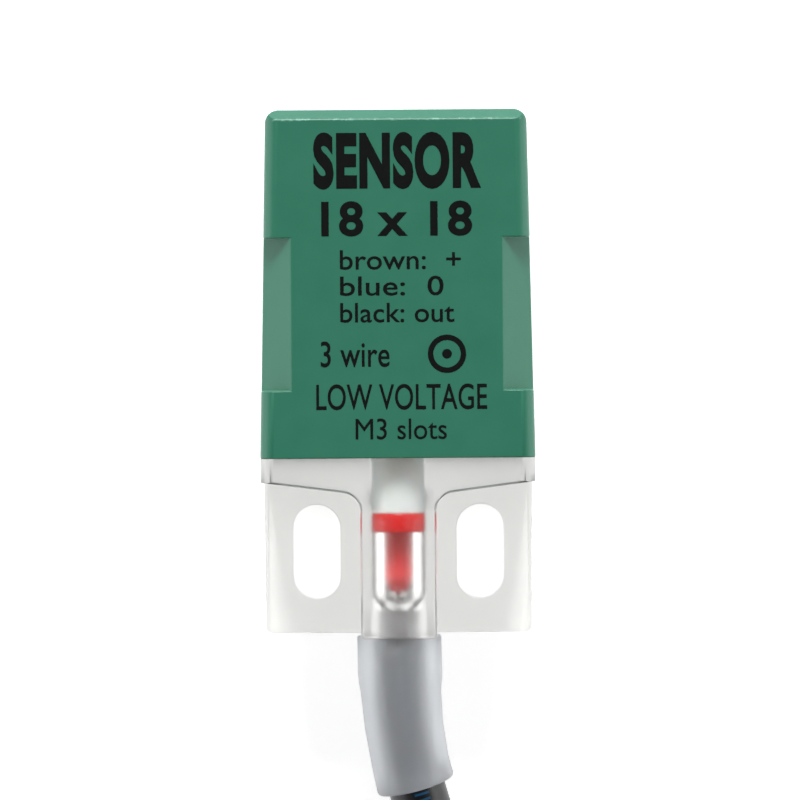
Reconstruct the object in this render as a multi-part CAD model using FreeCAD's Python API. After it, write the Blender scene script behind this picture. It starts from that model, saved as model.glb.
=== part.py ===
import FreeCAD, Part
import math
import os

# A square inductive proximity sensor with a clear slotted end cap, and its cable, one file for each piece.
# The sensor lies on its back: +X to the right, +Y to the sensing end, +Z out of the printed face.
# The origin is under the middle of the sensor, on the surface it lies on. Millimetres.

V = FreeCAD.Vector
OUT = "parts"

# Outside of the sensor
HALF_WIDTH = 9.0
DEPTH = 18.0
END_Y = 17.3  # both ends lie this far from the middle
JOINT_Y = -5.5  # where the green case meets the clear end cap
TOP_HALF_WIDTH = 8.55  # the case narrows to this at its sensing end
EDGE_R = 0.9
TOP_BEVEL = 0.66
MID_Z = DEPTH / 2

# Side notches in the case's front edges
NOTCH_X = 6.9
NOTCH_Y = (-1.07, 8.92)

# Hollow of the case
CAVITY_HALF = 7.4
CAVITY_Z = (1.2, 16.8)
CAVITY_BEVEL = 1.0
CAVITY_END = 16.1

# Clear end cap
COLLAR_Y = -7.05
COLUMN_HALF = 2.5
SHOULDER_Y = -7.9
SHOULDER_R = 1.2
FLANGE_Z = 5.5
FLANGE_HALF_END = 8.9
FLANGE_CORNER_R = 0.5
FLANGE_RIM_R = 0.35
FLANGE_INSET = 0.02  # the flange's sides stand this far inside the collar's
COLUMN_FOOT_R = 0.3
COLUMN_RIM_R = 0.22
SPIGOT_Y = -4.0
SPIGOT_GAP = 0.05
ROOT = 0.5  # how far the flange and the spigot reach into the collar
SLOT_X = 5.5
SLOT_Y = -11.9
SLOT_R = 1.6
SLOT_LENGTH = 6.4

# Indicator lamp, and the round pocket it shines through
LED_Z = 15.0
LED_FLANGE_R = 1.75
LED_FLANGE_Y = (-10.4, -9.1)
LED_BODY_R = 1.45
LED_TIP_Y = -14.5
POCKET_R = 1.7  # the lamp's flange is pressed in
POCKET_END_Y = -15.76
LED_PITCH = 2.54
LED_LEG_R = 0.25
LED_LEG_Y = -1.2  # where the legs go down to the board

# Coil and core at the sensing end
CORE_R = 7.0
CORE_WALL_R = 5.8
CORE_POST_R = 3.0
CORE_HOLE_R = 1.5
CORE_BACK_Y = 11.9
CORE_FLOOR_Y = 13.2
BOBBIN_Y = (13.2, 15.8)
BOBBIN_FLANGE = 0.4
BOBBIN_R = (3.05, 3.4, 5.7)
WINDING_R = 5.3
COIL_WIRE_R = 0.15
COIL_LEAD_X = 0.5
COIL_LEAD_Z = 15.3
COIL_LEAD_STARTS_Y = (14.0, 15.0)
COIL_LEAD_END_Y = 9.9
LEAD_SLOT_HALF = 1.1

# Circuit board
BOARD_HALF = 6.4
BOARD_Y = (-2.0, 10.8)
BOARD_Z = (11.2, 12.0)
SOLDER_HEIGHT = 0.45
SOLDER_TAPER = 0.6
SOLDER_R = {"coil": 0.42, "lamp": 0.5, "core": 0.85}

# What stands on the board: places of the middles, and sizes
STAND_OFF = 0.1
IC_PLACE = (-1.4, 4.6)
IC_SIZE = (4.9, 3.9, 1.4)
IC_PIN_PITCH = 1.27
IC_PIN_REACH = 1.0
TRANSISTOR_PLACE = (-4.05, 0.25)
TRANSISTOR_SIZE = (4.3, 1.8, 1.4)
TRANSISTOR_PIN_PITCH = 1.5
TRANSISTOR_PIN_REACH = 0.9
PIN_WIDTH = 0.42
PIN_HEIGHT = 0.75
PIN_THICKNESS = 0.15
DIODE_PLACES = [(4.2, 0.0), (4.2, 2.4)]
DIODE_SIZE = (2.7, 1.6, 1.1)
DIODE_TAB = (0.45, 0.6, 0.3)
TANTALUM_PLACE = (4.2, 5.2)
TANTALUM_SIZE = (3.2, 1.6, 1.6)
TANTALUM_TAB = (0.15, 1.2, 0.9)
CHIP_BODY = (1.0, 0.8)
CAP_HEIGHT = 0.8
RESISTOR_HEIGHT = 0.45
TERMINAL = 0.3
RESISTOR_PLACES = [(-5.3, 3.0), (-5.3, 4.4), (-5.3, 5.8), (3.2, 7.6), (5.3, 7.6), (-2.4, 9.8)]
CAPACITOR_PLACES = [(-5.3, 7.4), (-5.3, 9.0), (3.2, 9.4), (5.3, 9.4), (-1.4, 8.2)]

# Cable
CABLE_R = 1.9
CORE_WIRE_R = 0.65
BORE_R = 2.0
JACKET_END_Y = -2.0
CLAMP_R = 2.6
CLAMP_Y = (-3.8, -2.4)
CLAMP_SPLIT = 0.6
INNER_LEAD_R = 0.55
INNER_LEAD_BEND_Y = -0.4
INNER_LEAD_ENDS = {"brown": (-3.6, 3.0), "blue": (3.6, 3.0), "black": (0.0, 4.4)}
SLEEVE_SPIGOT_R = 2.15
SLEEVE_SPIGOT_Y = -15.6
SLEEVE_SIZES = [(0, 2.82), (2.4, 2.82), (3.7, 2.69), (8.6, 2.58), (10.1, 2.62)]  # distance along, radius
CABLE_ROUTE = [
    (0, -END_Y, 9.0),
    (0, -21.6, 9.0),
    (0.8, -26.9, 8.55),
    (3.1, -33.6, 7.3),
    (6.5, -42.2, 4.5),
    (9.9, -51.2, 1.95),
    (10.7, -58.4, 1.95),
]

# Put-away hank: an oval bundle of turns that lies in line with the sensor. Radii are from the middles of
# its two round ends, and the top layer's outer turn stops where the free end leaves it
HANK_X = -5.0
HANK_ENDS_Y = (-85.0, -60.0)
HANK_R = (7.4, 19.0)
HANK_SHELF_Z = 7.3
HANK_TOP = 11.0
TOP_TURN_R = (9.4, 13.3, 17.3)
HANK_FOOT_BEVEL = 1.0
TIE_Y = -73.0
TIE_WIDTH = 3.0
TIE_THICKNESS = 0.7
TIE_TOP_BEVEL = 1.6
TAIL_ROUTE = [
    (-20.35, -85.0, 9.25),
    (-20.35, -80.2, 9.25),
    (-20.7, -74.6, 9.4),
    (-20.7, -69.4, 9.4),
]
# Where each core leaves the jacket's end, across and up from its middle, and its further points from there
CORE_ROUTES = {
    "brown": [
        (-0.75, 0, -0.4),
        (-0.75, 5.0, -0.4),
        (-1.3, 11.2, -1.15),
        (-1.7, 17.8, -1.25),
        (-2.2, 24.6, -1.7),
        (-2.3, 31.0, -2.7),
    ],
    "blue": [
        (0.75, 0, -0.4),
        (0.75, 5.4, -0.4),
        (1.2, 11.9, -1.15),
        (2.0, 18.6, -1.2),
        (2.8, 25.5, -1.5),
        (3.1, 32.0, -2.6),
    ],
    "black": [
        (0, 0, 0.9),
        (0, 5.2, 0.9),
        (0.0, 11.6, -0.4),
        (0.3, 18.4, -1.2),
        (0.4, 25.3, -1.6),
        (0.2, 31.8, -2.6),
    ],
}
TINNED_R = 0.42
TINNED_LENGTH = 5.0


def block(low, high):
    """A box between two corners."""
    size = V(*high) - V(*low)
    return Part.makeBox(size.x, size.y, size.z, V(*low))


def chip(x, y, size, base_z=BOARD_Z[1]):
    """A box of a size, standing on the board at a place."""
    low = (x - size[0] / 2, y - size[1] / 2, base_z)
    return block(low, (x + size[0] / 2, y + size[1] / 2, base_z + size[2]))


def rod(radius, start, end):
    """A cylinder from one point to another."""
    start, end = V(*start), V(*end)
    return Part.makeCylinder(radius, (end - start).Length, start, end - start)


def outline(points):
    """The flat face inside an outline of points."""
    corners = [V(*p) for p in points]
    return Part.Face(Part.makePolygon(corners + corners[:1]))


def prism(points, along):
    """The solid that an outline of points makes when it is pushed along."""
    return outline(points).extrude(V(*along))


def joined(shapes):
    """Shapes that touch or overlap, as one solid."""
    return shapes[0].fuse(shapes[1:]).removeSplitter()


def group(shapes):
    """Separate solids in one file."""
    return Part.makeCompound([solid for shape in shapes for solid in shape.Solids])


def edges_along(shape, axis, at=()):
    """A shape's straight edges along an axis, at the coordinates given as (axis, value)."""
    chosen = []
    for edge in shape.Edges:
        way = edge.tangentAt(edge.FirstParameter)
        middle = edge.CenterOfMass
        straight = isinstance(edge.Curve, Part.Line) and abs(getattr(way, axis)) > 0.99
        if straight and all(abs(getattr(middle, a) - value) < 0.2 for a, value in at):
            chosen.append(edge)
    return chosen


def tapered_bar(y_range, halves, z_range):
    """A square bar along Y whose half width goes from one value to the other, with sharp edges."""
    (y0, y1), (h0, h1), (z0, z1) = y_range, halves, z_range
    return prism([(-h0, y0, z0), (h0, y0, z0), (h1, y1, z0), (-h1, y1, z0)], (0, 0, z1 - z0))


def hollow_outline(gap, y0, y1):
    """The case's hollow, or with a gap what fits in it: square, with bevelled front corners."""
    half, low, high = CAVITY_HALF - gap, CAVITY_Z[0] + gap, CAVITY_Z[1] - gap
    inset = half - CAVITY_BEVEL
    section = [(-half, low), (half, low), (half, high - CAVITY_BEVEL), (inset, high)]
    section += [(-inset, high), (-half, high - CAVITY_BEVEL)]
    return prism([(x, y0, z) for x, z in section], (0, y1 - y0, 0))


def top_corner_cutter(side):
    """What is cut off the case's sensing end at one side, to leave a corner of radius EDGE_R."""
    lean = math.atan2(HALF_WIDTH - TOP_HALF_WIDTH, END_Y - JOINT_Y)
    out, up = V(math.cos(lean), math.sin(lean), 0), V(0, 1, 0)
    centre_x = TOP_HALF_WIDTH - EDGE_R * (1 - math.sin(lean)) / math.cos(lean)
    centre = V(centre_x, END_Y - EDGE_R, -1)
    between = out + up
    between.normalize()
    arc = Part.Arc(centre + out * EDGE_R, centre + between * EDGE_R, centre + up * EDGE_R)
    far = V(TOP_HALF_WIDTH + 1, END_Y + 1, -1)
    corners = [centre + up * EDGE_R, centre + up * 2, far, centre + out * 2, centre + out * EDGE_R]
    rest = Part.makePolygon(corners)
    cutter = Part.Face(Part.Wire([arc.toShape()] + rest.Edges)).extrude(V(0, 0, DEPTH + 2))
    return cutter if side > 0 else cutter.mirror(V(0, 0, 0), V(1, 0, 0))


def case():
    """The green cup, open at the cable end."""
    body = tapered_bar((JOINT_Y, END_Y), (HALF_WIDTH, TOP_HALF_WIDTH), (0, DEPTH))
    body = body.makeFillet(EDGE_R, edges_along(body, "y"))
    wide = HALF_WIDTH - NOTCH_X + 1
    notch = [(NOTCH_X - 1, DEPTH + 1), (NOTCH_X + wide, DEPTH - wide), (NOTCH_X + wide, DEPTH + 1)]
    for side in (-1, 1):
        body = body.cut(top_corner_cutter(side))
        corners = [(side * x, NOTCH_Y[0], z) for x, z in notch]
        body = body.cut(prism(corners, (0, NOTCH_Y[1] - NOTCH_Y[0], 0)))
    for face_z, out in ((0, -1), (DEPTH, 1)):
        bevel = [(END_Y - TOP_BEVEL - 1, face_z + out), (END_Y + 1, face_z - out * (TOP_BEVEL + 1))]
        bevel.append((END_Y + 1, face_z + out))
        body = body.cut(prism([(-HALF_WIDTH - 1, y, z) for y, z in bevel], (2 * HALF_WIDTH + 2, 0, 0)))
    return body.cut(hollow_outline(0, JOINT_Y - 1, CAVITY_END))


def slot(x):
    """What is cut for one mounting slot."""
    reach = SLOT_LENGTH / 2 - SLOT_R
    y0, y1 = SLOT_Y - reach, SLOT_Y + reach
    ends = [rod(SLOT_R, (x, y, -1), (x, y, FLANGE_Z + 1)) for y in (y0, y1)]
    return joined(ends + [block((x - SLOT_R, y0, -1), (x + SLOT_R, y1, FLANGE_Z + 1))])


def cap_upper():
    """The end cap above its flange: the collar, and the column that holds the lamp and the cable."""
    slope = (COLLAR_Y - SHOULDER_Y) / (HALF_WIDTH - COLUMN_HALF)
    half = [(HALF_WIDTH + 1, JOINT_Y), (HALF_WIDTH + 1, COLLAR_Y + slope)]
    half += [(COLUMN_HALF, SHOULDER_Y), (COLUMN_HALF, -END_Y)]
    upper = prism([(x, y, 0) for x, y in half] + [(-x, y, 0) for x, y in reversed(half)], (0, 0, DEPTH))
    rounded = [("z", ("y", SHOULDER_Y), SHOULDER_R), ("z", ("y", -END_Y), COLUMN_FOOT_R)]
    rounded.append(("y", ("z", DEPTH), COLUMN_RIM_R))
    for axis, place, radius in rounded:
        edges = []
        for x in (-COLUMN_HALF, COLUMN_HALF):
            edges += edges_along(upper, axis, [("x", x), place])
        upper = upper.makeFillet(radius, edges)
    bar = tapered_bar((-END_Y - 1, JOINT_Y), (FLANGE_HALF_END, HALF_WIDTH), (0, DEPTH))
    return upper.common(bar.makeFillet(EDGE_R, edges_along(bar, "y")))


def cap_flange():
    """The end cap's flat foot, before its slots are cut."""
    halves = (FLANGE_HALF_END, HALF_WIDTH - FLANGE_INSET)
    flange = tapered_bar((-END_Y, COLLAR_Y + ROOT), halves, (0, FLANGE_Z))
    flange = flange.makeFillet(FLANGE_CORNER_R, edges_along(flange, "z", [("y", -END_Y)]))
    return flange.makeFillet(FLANGE_RIM_R, edges_along(flange, "y"))


def clear_base():
    """The clear end cap, with its slots, the lamp's pocket and the cable's bore."""
    body = joined([cap_upper(), cap_flange(), hollow_outline(SPIGOT_GAP, JOINT_Y - ROOT, SPIGOT_Y)])
    for x in (-SLOT_X, SLOT_X):
        body = body.cut(slot(x))
    tip_y = POCKET_END_Y + POCKET_R
    body = body.cut(rod(POCKET_R, (0, SPIGOT_Y + 1, LED_Z), (0, tip_y, LED_Z)))
    body = body.cut(Part.makeSphere(POCKET_R, V(0, tip_y, LED_Z)))
    body = body.cut(rod(BORE_R, (0, -END_Y - 1, MID_Z), (0, SPIGOT_Y + 1, MID_Z)))
    socket_r = SLEEVE_SPIGOT_R + SPIGOT_GAP
    return body.cut(rod(socket_r, (0, -END_Y - 1, MID_Z), (0, SLEEVE_SPIGOT_Y, MID_Z)))


def indicator_led():
    """A round lamp with a flange and a domed end, pointing to the cable end."""
    dome_y = LED_TIP_Y + LED_BODY_R
    flange = rod(LED_FLANGE_R, (0, LED_FLANGE_Y[1], LED_Z), (0, LED_FLANGE_Y[0], LED_Z))
    body = rod(LED_BODY_R, (0, LED_FLANGE_Y[1], LED_Z), (0, dome_y, LED_Z))
    return joined([flange, body, Part.makeSphere(LED_BODY_R, V(0, dome_y, LED_Z))])


def rounded_path(points):
    """Straight runs joined by tangent arcs, each as large as its runs allow, and the arcs' radii."""
    points = [V(*p) for p in points]
    edges, radii, at = [], [], points[0]
    for before, here, after in zip(points, points[1:], points[2:]):
        back, on = before - here, after - here
        run = min(back.Length, on.Length)
        back.normalize()
        on.normalize()
        turn = math.pi - back.getAngle(on)
        radius = 0.45 * run / math.tan(turn / 2)
        start, end = here + back * 0.45 * run, here + on * 0.45 * run
        inward = back + on
        inward.normalize()
        middle = here + inward * (radius / math.cos(turn / 2) - radius)
        edges += [Part.LineSegment(at, start).toShape(), Part.Arc(start, middle, end).toShape()]
        radii.append(radius)
        at = end
    edges.append(Part.LineSegment(at, points[-1]).toShape())
    return Part.Wire(edges), radii


def tube(points, radius):
    """A round bar along a rounded path."""
    path, _ = rounded_path(points)
    start = V(*points[0])
    section = Part.Wire(Part.makeCircle(radius, start, V(*points[1]) - start))
    return path.makePipeShell([section], True, False)


def report(name, points, radius, bar):
    """Prints a cord's length and radii, and its volume against its section times its length."""
    path, radii = rounded_path(points)
    share = bar.Volume / (math.pi * radius**2 * path.Length)
    print(name, "length", round(path.Length, 1), "volume share", round(share, 4))
    runs = [(V(*after) - V(*before)).Length for before, after in zip(points, points[1:])]
    print("  radii", [round(r, 1) for r in radii], "runs", [round(run, 1) for run in runs])


def ferrite_core():
    """A pot core open to the sensing end, with a slot for the coil's leads."""
    pot = rod(CORE_R, (0, CORE_BACK_Y, MID_Z), (0, CAVITY_END, MID_Z))
    room = rod(CORE_WALL_R, (0, CORE_FLOOR_Y, MID_Z), (0, CAVITY_END + 1, MID_Z))
    room = room.cut(rod(CORE_POST_R, (0, CORE_FLOOR_Y, MID_Z), (0, CAVITY_END + 1, MID_Z)))
    hole = rod(CORE_HOLE_R, (0, CORE_BACK_Y - 1, MID_Z), (0, CAVITY_END + 1, MID_Z))
    slot_low = (-LEAD_SLOT_HALF, CORE_BACK_Y - 1, MID_Z + BOBBIN_R[2])
    lead_slot = block(slot_low, (LEAD_SLOT_HALF, CAVITY_END + 1, MID_Z + CORE_R + 1))
    return pot.cut(room).cut(hole).cut(lead_slot)


def coil_bobbin():
    """The spool on the core's post."""
    (y0, y1), (bore, barrel, rim) = BOBBIN_Y, BOBBIN_R
    spool = joined(
        [
            rod(barrel, (0, y0, MID_Z), (0, y1, MID_Z)),
            rod(rim, (0, y0, MID_Z), (0, y0 + BOBBIN_FLANGE, MID_Z)),
            rod(rim, (0, y1 - BOBBIN_FLANGE, MID_Z), (0, y1, MID_Z)),
        ]
    )
    return spool.cut(rod(bore, (0, y0 - 1, MID_Z), (0, y1 + 1, MID_Z)))


def coil_winding():
    """The wound copper, as one ring between the spool's flanges."""
    y0, y1 = BOBBIN_Y[0] + BOBBIN_FLANGE, BOBBIN_Y[1] - BOBBIN_FLANGE
    ring = rod(WINDING_R, (0, y0, MID_Z), (0, y1, MID_Z))
    return ring.cut(rod(BOBBIN_R[1], (0, y0 - 1, MID_Z), (0, y1 + 1, MID_Z)))


def coil_leads():
    """Both ends of the winding, out through the core's slot and down to the board."""
    leads = []
    for x, y in zip((-COIL_LEAD_X, COIL_LEAD_X), COIL_LEAD_STARTS_Y):
        route = [(x, y, MID_Z + WINDING_R + SPIGOT_GAP), (x, y, COIL_LEAD_Z)]
        route += [(x, COIL_LEAD_END_Y, COIL_LEAD_Z), (x, COIL_LEAD_END_Y, BOARD_Z[1])]
        leads.append(tube(route, COIL_WIRE_R))
    return group(leads)


def led_leads():
    """The lamp's two legs, bent down to the board."""
    legs = []
    for x in (-LED_PITCH / 2, LED_PITCH / 2):
        route = [(x, LED_FLANGE_Y[1], LED_Z), (x, LED_LEG_Y, LED_Z), (x, LED_LEG_Y, BOARD_Z[1])]
        legs.append(tube(route, LED_LEG_R))
    return group(legs)


def inner_lead(colour):
    """One insulated core, from the jacket's end inside the case to the back of the board."""
    across, _, up = CORE_ROUTES[colour][0]
    x, y = INNER_LEAD_ENDS[colour]
    start_z = MID_Z - up
    route = [(across, JACKET_END_Y, start_z), (x, y, start_z), (x, y, BOARD_Z[0])]
    if x != across:
        route.insert(1, (across, INNER_LEAD_BEND_Y, start_z))
    return tube(route, INNER_LEAD_R)


def solder_joints(wires):
    """A cone of solder at each wire on the board."""
    back, front = BOARD_Z
    places = [(x, LED_LEG_Y, front, 1, SOLDER_R["lamp"]) for x in (-LED_PITCH / 2, LED_PITCH / 2)]
    places += [(x, COIL_LEAD_END_Y, front, 1, SOLDER_R["coil"]) for x in (-COIL_LEAD_X, COIL_LEAD_X)]
    places += [(x, y, back, -1, SOLDER_R["core"]) for x, y in INNER_LEAD_ENDS.values()]
    joints = []
    for x, y, z, way, wide in places:
        cone = Part.makeCone(wide, SOLDER_TAPER * wide, SOLDER_HEIGHT, V(x, y, z), V(0, 0, way))
        for wire in wires:
            cone = cone.cut(wire)
        joints.append(cone)
    return group(joints)


def gull_leg(x, y, way, reach):
    """One bent metal leg from a package's side at y, stepping down to the board."""
    thick, under = PIN_THICKNESS, PIN_HEIGHT - PIN_THICKNESS
    side = [(0, PIN_HEIGHT), (reach * 0.4, PIN_HEIGHT), (reach * 0.55, thick), (reach, thick)]
    side += [(reach, 0), (reach * 0.4, 0), (reach * 0.25, under), (0, under)]
    corners = [(x - PIN_WIDTH / 2, y + way * out, BOARD_Z[1] + up) for out, up in side]
    return prism(corners, (PIN_WIDTH, 0, 0))


def sensor_ic():
    """The oscillator and trigger chip, in an eight-leg package."""
    x, y = IC_PLACE
    return chip(x, y, IC_SIZE, BOARD_Z[1] + STAND_OFF)


def ic_pins():
    """The chip's legs."""
    x, y = IC_PLACE
    legs = []
    for i in range(4):
        for way in (-1, 1):
            leg_x = x + (i - 1.5) * IC_PIN_PITCH
            legs.append(gull_leg(leg_x, y + way * IC_SIZE[1] / 2, way, IC_PIN_REACH))
    return group(legs)


def output_transistor():
    """The switching transistor."""
    return chip(*TRANSISTOR_PLACE, TRANSISTOR_SIZE, BOARD_Z[1] + STAND_OFF)


def transistor_pins():
    """The transistor's three legs."""
    x, y = TRANSISTOR_PLACE
    edge = y - TRANSISTOR_SIZE[1] / 2
    pitch, reach = TRANSISTOR_PIN_PITCH, TRANSISTOR_PIN_REACH
    return group([gull_leg(x + i * pitch, edge, -1, reach) for i in (-1, 0, 1)])


def end_tabs(x, y, size, tab):
    """The two metal tabs at a package's ends, on the board."""
    out = size[0] / 2 + tab[0] / 2
    return [chip(x + way * out, y, tab) for way in (-1, 1)]


def chip_parts():
    """Resistor bodies, capacitor bodies, and the metal caps at the ends of both."""
    bodies, caps = {RESISTOR_HEIGHT: [], CAP_HEIGHT: []}, []
    for places, height in ((RESISTOR_PLACES, RESISTOR_HEIGHT), (CAPACITOR_PLACES, CAP_HEIGHT)):
        for x, y in places:
            bodies[height].append(chip(x, y, (*CHIP_BODY, height)))
            out = CHIP_BODY[0] / 2 + TERMINAL / 2
            caps += [chip(x + way * out, y, (TERMINAL, CHIP_BODY[1], height)) for way in (-1, 1)]
    return group(bodies[RESISTOR_HEIGHT]), group(bodies[CAP_HEIGHT]), group(caps)


def cable_clamp():
    """A crimped split ring on the jacket, behind the end cap."""
    y0, y1 = CLAMP_Y
    ring = rod(CLAMP_R, (0, y0, MID_Z), (0, y1, MID_Z))
    ring = ring.cut(rod(CABLE_R, (0, y0 - 1, MID_Z), (0, y1 + 1, MID_Z)))
    split = block((-CLAMP_SPLIT / 2, y0 - 1, MID_Z - CLAMP_R - 1), (CLAMP_SPLIT / 2, y1 + 1, MID_Z))
    return ring.cut(split)


def potting_resin(pieces):
    """The resin that seals the case behind the end cap and fills the bore behind the lamp."""
    plug = hollow_outline(0, SPIGOT_Y, JACKET_END_Y)
    fill = joined([plug, rod(POCKET_R, (0, SPIGOT_Y + ROOT, LED_Z), (0, LED_FLANGE_Y[1], LED_Z))])
    for piece in pieces:
        fill = fill.cut(piece)
    return fill


def bar_of_sizes(points, sizes):
    """A round bar along a rounded path whose radius changes, from (distance along, radius)."""
    path, _ = rounded_path(points)
    step = 0.05
    spots = path.discretize(Distance=step)
    rings = []
    for distance, radius in sizes:
        i = min(int(round(distance / step)), len(spots) - 2)
        rings.append(Part.Wire(Part.makeCircle(radius, spots[i], spots[i + 1] - spots[i])))
    return Part.makeLoft(rings, True, False)


def cable_sleeve(cable, entry):
    """The tapered sleeve on the cable, with a narrower spigot into the column."""
    outer = bar_of_sizes(CABLE_ROUTE, SLEEVE_SIZES)
    spigot = rod(SLEEVE_SPIGOT_R, (0, -END_Y - ROOT, MID_Z), (0, SLEEVE_SPIGOT_Y, MID_Z))
    return joined([outer, spigot]).cut(cable).cut(entry)


def bundle(section, whole):
    """A bundle of turns with an outline of (radius, height): its right side and far end, or all round."""
    far, near = HANK_ENDS_Y
    up, side = V(0, 0, 1), V(0, near - far, 0)
    left, right = (outline([(HANK_X + way * r, far, z) for r, z in section]) for way in (-1, 1))
    parts = [right.extrude(side), right.revolve(V(HANK_X, far, 0), up, -180)]
    if whole:
        right.translate(side)
        parts += [left.extrude(side), right.revolve(V(HANK_X, near, 0), up, 180)]
    return joined(parts)


def cable_coil():
    """The hank's turns as one solid: two layers all round, and a top layer with half of its outer turn."""
    (inner, outer), low, shelf = HANK_R, HANK_FOOT_BEVEL, HANK_SHELF_Z
    base = [(inner + low, 0), (inner, low), (inner, shelf), (outer, shelf), (outer, low), (outer - low, 0)]
    turns = [bundle(base, True)]
    for r0, r1, whole in zip(TOP_TURN_R, TOP_TURN_R[1:], (True, False)):
        turns.append(bundle([(r0, shelf), (r0, HANK_TOP), (r1, HANK_TOP), (r1, shelf)], whole))
    return joined(turns)


def tie_section(margin, foot):
    """The outline that a strap makes round the bundle, grown by margin and lifted by foot."""
    (inner, outer), low, across = HANK_R, HANK_FOOT_BEVEL, TIE_TOP_BEVEL
    top = HANK_TOP + margin
    half = [(inner - margin + low, foot), (inner - margin, foot + low), (inner - margin, HANK_SHELF_Z)]
    half += [(inner + across, top), (outer - across, top), (outer + margin, HANK_SHELF_Z)]
    return half + [(outer + margin, foot + low), (outer + margin - low, foot)]


def coil_tie():
    """A strap round the hank's right side."""
    y0 = TIE_Y - TIE_WIDTH / 2
    outside, inside = (
        outline([(HANK_X + r, y0, z) for r, z in tie_section(margin, foot)]).extrude(V(0, TIE_WIDTH, 0))
        for margin, foot in ((TIE_THICKNESS, 0), (0, TIE_THICKNESS))
    )
    return outside.cut(inside)


def core_route(colour):
    """The points of one core outside the jacket's free end."""
    x, y, z = TAIL_ROUTE[-1]
    return [(x + across, y + along, z + up) for across, along, up in CORE_ROUTES[colour]]


def tinned_end(colour):
    """The tinned tip of one core."""
    before, end = (V(*p) for p in core_route(colour)[-2:])
    way = end - before
    way.normalize()
    return rod(TINNED_R, end, end + way * TINNED_LENGTH)


def save(name, shape):
    """Writes one piece."""
    if not shape.isValid() or not shape.Solids:
        raise ValueError(name + " is not a valid solid")
    shape.exportStep(os.path.join(OUT, name + ".step"))
    box = shape.BoundBox
    low = [round(v, 2) for v in (box.XMin, box.YMin, box.ZMin)]
    high = [round(v, 2) for v in (box.XMax, box.YMax, box.ZMax)]
    print(name, "solids", len(shape.Solids), "volume", round(shape.Volume, 2), low, high)


def main():
    os.makedirs(OUT, exist_ok=True)
    save("case", case())
    save("clear_base", clear_base())
    save("indicator_led", indicator_led())
    save("ferrite_core", ferrite_core())
    save("coil_bobbin", coil_bobbin())
    save("coil_winding", coil_winding())
    (y0, y1), (z0, z1) = BOARD_Y, BOARD_Z
    save("circuit_board", block((-BOARD_HALF, y0, z0), (BOARD_HALF, y1, z1)))
    save("sensor_ic", sensor_ic())
    save("ic_pins", ic_pins())
    save("output_transistor", output_transistor())
    save("transistor_pins", transistor_pins())
    save("protection_diodes", group([chip(x, y, DIODE_SIZE) for x, y in DIODE_PLACES]))
    tabs = [tab for x, y in DIODE_PLACES for tab in end_tabs(x, y, DIODE_SIZE, DIODE_TAB)]
    save("diode_terminals", group(tabs))
    save("tantalum_capacitor", chip(*TANTALUM_PLACE, TANTALUM_SIZE))
    save("tantalum_terminals", group(end_tabs(*TANTALUM_PLACE, TANTALUM_SIZE, TANTALUM_TAB)))
    resistors, capacitors, terminals = chip_parts()
    save("chip_resistors", resistors)
    save("chip_capacitors", capacitors)
    save("chip_terminals", terminals)

    coil_ends, lamp_legs = coil_leads(), led_leads()
    save("coil_leads", coil_ends)
    save("led_leads", lamp_legs)
    inner = {colour: inner_lead(colour) for colour in CORE_ROUTES}
    for colour, lead in inner.items():
        save("lead_" + colour, lead)
    save("solder_joints", solder_joints([coil_ends, lamp_legs, *inner.values()]))

    entry = rod(CABLE_R, (0, -END_Y, MID_Z), (0, JACKET_END_Y, MID_Z))
    clamp = cable_clamp()
    save("cable_entry", entry)
    save("cable_clamp", clamp)
    save("potting_resin", potting_resin([entry, clamp, lamp_legs]))

    run, tail, tie = tube(CABLE_ROUTE, CABLE_R), tube(TAIL_ROUTE, CABLE_R), coil_tie()
    report("cable_run", CABLE_ROUTE, CABLE_R, run)
    report("cable_tail", TAIL_ROUTE, CABLE_R, tail)
    coil = cable_coil().cut(tie)
    save("cable_sleeve", cable_sleeve(run, entry))
    save("cable_run", run.cut(coil))
    save("cable_tail", tail.cut(coil))
    save("cable_coil", coil)
    save("coil_tie", tie)
    for colour in CORE_ROUTES:
        route = core_route(colour)
        core = tube(route, CORE_WIRE_R)
        report("core_" + colour, route, CORE_WIRE_R, core)
        save("core_" + colour, core)
        save("tinned_end_" + colour, tinned_end(colour))


main()
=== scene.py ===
import math
import random

import bmesh
import bpy
from mathutils import Matrix, Vector


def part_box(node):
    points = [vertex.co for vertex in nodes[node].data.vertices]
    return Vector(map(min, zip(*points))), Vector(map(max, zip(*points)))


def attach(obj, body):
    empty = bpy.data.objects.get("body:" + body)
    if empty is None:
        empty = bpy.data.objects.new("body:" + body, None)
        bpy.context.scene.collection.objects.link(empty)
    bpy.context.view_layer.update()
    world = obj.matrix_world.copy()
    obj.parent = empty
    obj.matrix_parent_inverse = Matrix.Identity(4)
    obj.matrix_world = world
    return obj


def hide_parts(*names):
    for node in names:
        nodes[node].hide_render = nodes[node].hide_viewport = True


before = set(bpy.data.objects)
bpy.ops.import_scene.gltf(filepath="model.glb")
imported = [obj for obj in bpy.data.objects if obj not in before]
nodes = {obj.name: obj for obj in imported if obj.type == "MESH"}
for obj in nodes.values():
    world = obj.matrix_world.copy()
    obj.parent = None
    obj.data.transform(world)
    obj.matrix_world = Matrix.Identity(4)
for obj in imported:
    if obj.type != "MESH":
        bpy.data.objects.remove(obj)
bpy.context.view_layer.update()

# A square inductive proximity sensor on a pale table: green case, clear slotted end cap with a red
# lamp in it, and a sleeved cable that ends in a put-away hank and three bare cores. The frame's axes
# are +X to the right, +Y to the sensing end and +Z out of the printed face. The scene is in metres.
# Sizes of the object's own shapes are written in millimetres, and turned to metres by MM.

MM = 0.001
WELD = 0.0005 * MM  # points of a CAD mesh that are closer than this are one point

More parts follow.
